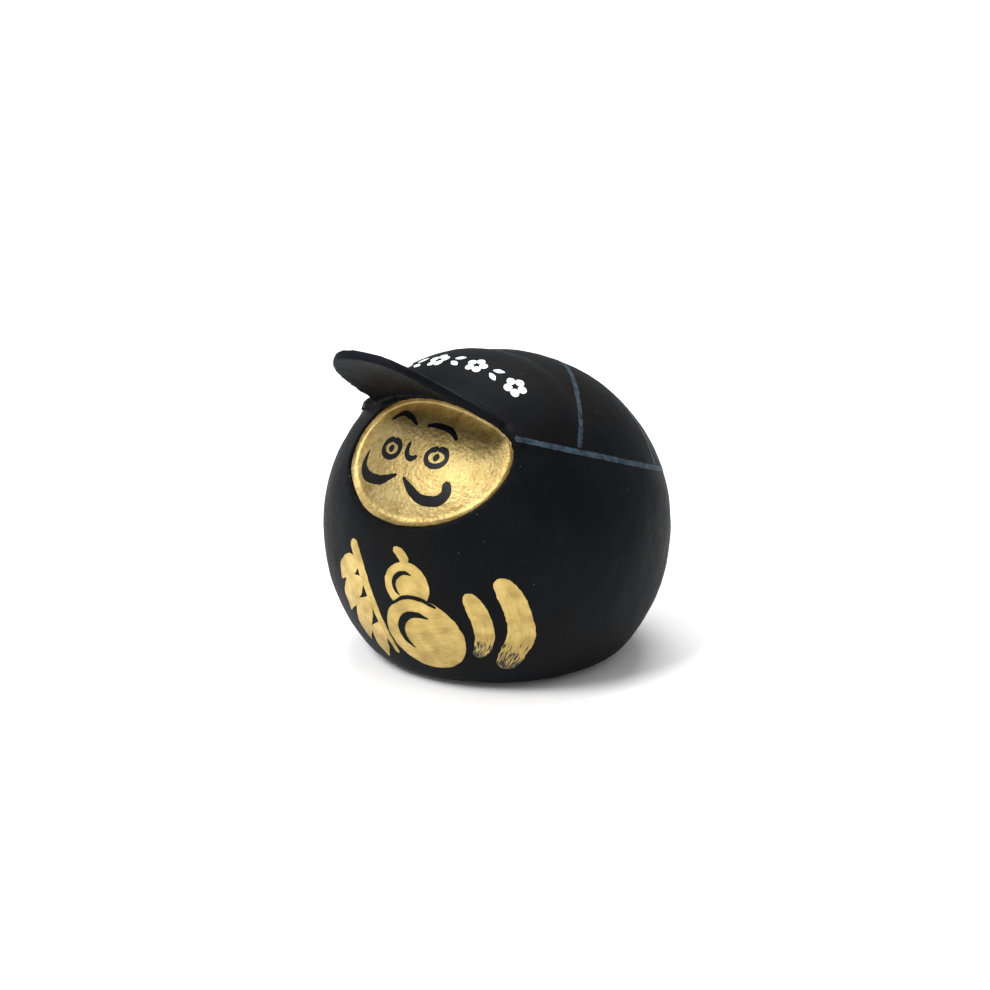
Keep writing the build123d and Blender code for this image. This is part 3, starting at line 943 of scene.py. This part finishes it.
on_piece(cap_lines(shell), "cap_line_paint", line_paint, "line_paint", "cap_hem_line", "cap_seam_front_left",
         "cap_seam_front_right", "cap_seam_rear_left", "cap_seam_rear_right", "cap_seam_back")
on_piece(crown_paint(blossoms, shell), "blossom_paint", white_paint, "white_paint", "cap_blossoms")
on_piece(crown_paint(leaves, shell), "leaf_paint", white_paint, "white_paint", "cap_leaves")
for name, flat in marks.items():
    on_piece(front_paint(flat, dish), name + "_paint", mark_paint, "brush_black", name)
on_piece(front_paint(gourd, shell), "gourd_paint", gold_paint, "brush_gold", "belly_gourd")
on_piece(front_paint(gourd_shade, shell, SHADE_LIFT), "gourd_shade_paint", black_coat, "black_paint")
on_piece(front_paint(sprig, shell), "sprig_paint", gold_paint, "brush_gold", "belly_sprig")
for name, flat in stripes.items():
    on_piece(front_paint([flat], shell), name + "_paint", gold_paint, "brush_gold", name)
on_piece(smooth(shell), "painted_body", black_coat, "black_paint", "black_coat", "visor_root_bead")
on_piece(smooth(visor), "cap_visor", black_coat, "visor_paint", "visor_wrap")
on_piece(smooth(dish), "face_gold_leaf", leaf_gold(), "face_gold", "face_gold")

inside = {
    "paper_shell": fibrous("grey paper pulp", "#8d8779", "#b5ae9e", 1.5, 0.15),
    "back_slit_strip": fibrous("pasted paper strip", "#c9bfa6", "#e6dec8", 0.8, 0.04),
    "base_paper": fibrous("black base paper", "#151415", "#242325", 0.7, 0.04),
    "visor_board": fibrous("grey pasteboard", "#94897a", "#b0a696", 0.6, 0.03),
    "clay_weight": raw_clay(),
}
for name, material in inside.items():
    frame["nodes"][name].data.materials.clear()
    frame["nodes"][name].data.materials.append(material)

# ---------------------------------------------------------------- room, light, camera

start_fresh()
bpy.ops.mesh.primitive_plane_add(size=8, location=(0, 0, 0))
floor = named("studio_floor")
sweep, sweep_tree, sweep_shader = new_material("white studio floor")
sweep_shader.inputs["Base Color"].default_value = linear("#ffffff")
sweep_shader.inputs["Roughness"].default_value = 0.9
floor.data.materials.append(sweep)

world = bpy.data.worlds.new("studio")
world.use_nodes = True
world.node_tree.nodes["Background"].inputs["Color"].default_value = (1, 1, 1, 1)
world.node_tree.nodes["Background"].inputs["Strength"].default_value = 0.56
bpy.context.scene.world = world
bpy.context.scene.view_settings.view_transform = "Standard"


def softbox(name, place, size, power):
    """Square light that faces the doll."""
    light = bpy.data.lights.new(name, "AREA")
    light.size = size
    light.energy = power
    lamp = bpy.data.objects.new(name, light)
    lamp.location = place
    lamp.rotation_euler = (CENTRE - Vector(place)).to_track_quat("-Z", "Y").to_euler()
    bpy.context.scene.collection.objects.link(lamp)


softbox("key", (-0.6, -2.0, 2.6), 1.3, 92)
softbox("top", (-0.6, 0.9, 3.0), 2.0, 72)

LENS = 88.4
CAMERA_DISTANCE = 14 * BODY_RADIUS
AZIMUTH = math.radians(38)
ELEVATION = math.radians(18.5)
back = Vector((
    math.sin(AZIMUTH) * math.cos(ELEVATION), -math.cos(AZIMUTH) * math.cos(ELEVATION), math.sin(ELEVATION)))
right = Vector((math.cos(AZIMUTH), math.sin(AZIMUTH), 0))
aim = CENTRE + back.cross(right) * (0.161 * BODY_RADIUS) - right * (0.0115 * BODY_RADIUS)
camera_data = bpy.data.cameras.new("camera")
camera_data.lens = LENS
camera_data.sensor_width = 36
camera = bpy.data.objects.new("camera", camera_data)
camera.location = CENTRE + back * CAMERA_DISTANCE
camera.rotation_euler = (aim - camera.location).to_track_quat("-Z", "Y").to_euler()
bpy.context.scene.collection.objects.link(camera)
bpy.context.scene.camera = camera
